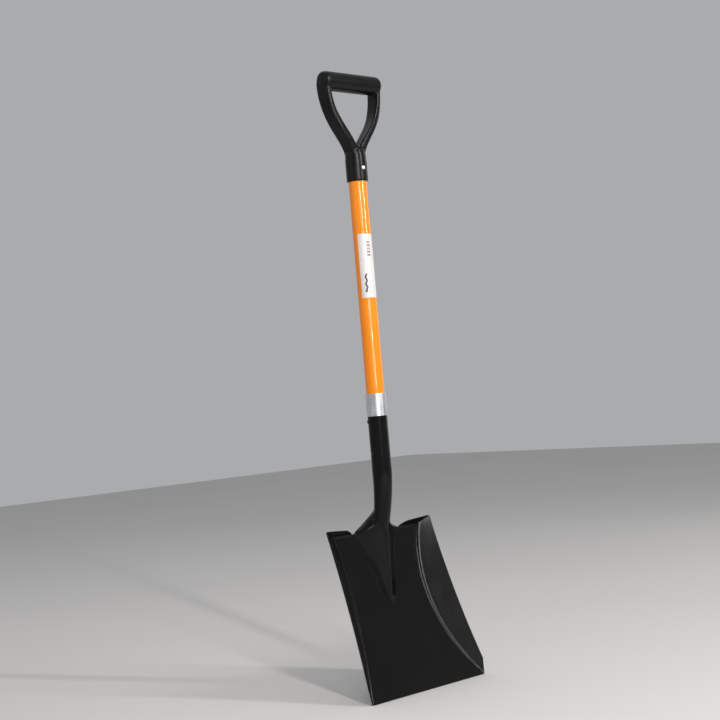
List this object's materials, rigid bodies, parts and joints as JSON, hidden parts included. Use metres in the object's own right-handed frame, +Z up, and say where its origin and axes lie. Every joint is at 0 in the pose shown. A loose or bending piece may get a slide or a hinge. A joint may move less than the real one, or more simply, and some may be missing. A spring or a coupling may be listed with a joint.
{
  "type": "square-mouth shovel",
  "caption": "Square-mouth shovel: dished steel pan with turned-up side walls, hollow-back frog, rolled socket, tubular shaft and moulded D handle.",
  "frame": {"origin": "on the ground under the middle of the shovel's footprint box, with the mouth's edge on the ground", "axes": "+Z up the shaft, -Y towards the open side of the pan, +X to the right seen from that side"},
  "size_m": [0.262, 0.1002, 0.9973],
  "materials": {
    "blade_coat": "black satin powder coat on pressed steel",
    "galvanised": "bright galvanised, drawn",
    "shaft_orange": "glossy orange glass-fibre tube",
    "core": "plain turned wood",
    "handle_plastic": "black satin polypropylene",
    "rivet_metal": "bright",
    "rivet_black": "coated with the blade",
    "mandrel_steel": "broken steel pin",
    "label_film": "white paper-faced sticker"
  },
  "bodies": {
    "root": {"blade": "blade_coat", "ferrule": "galvanised", "shaft": "shaft_orange", "lower_core_plug": "core", "upper_core_plug": "core", "d_handle": "handle_plastic", "grip_end_plug_left": "handle_plastic", "grip_end_plug_right": "handle_plastic", "handle_rivet": "rivet_metal", "handle_rivet_washer": "rivet_metal", "socket_rivet": "rivet_black", "socket_rivet_mandrel": "mandrel_steel", "label": "label_film"}
  },
  "joints": []
}
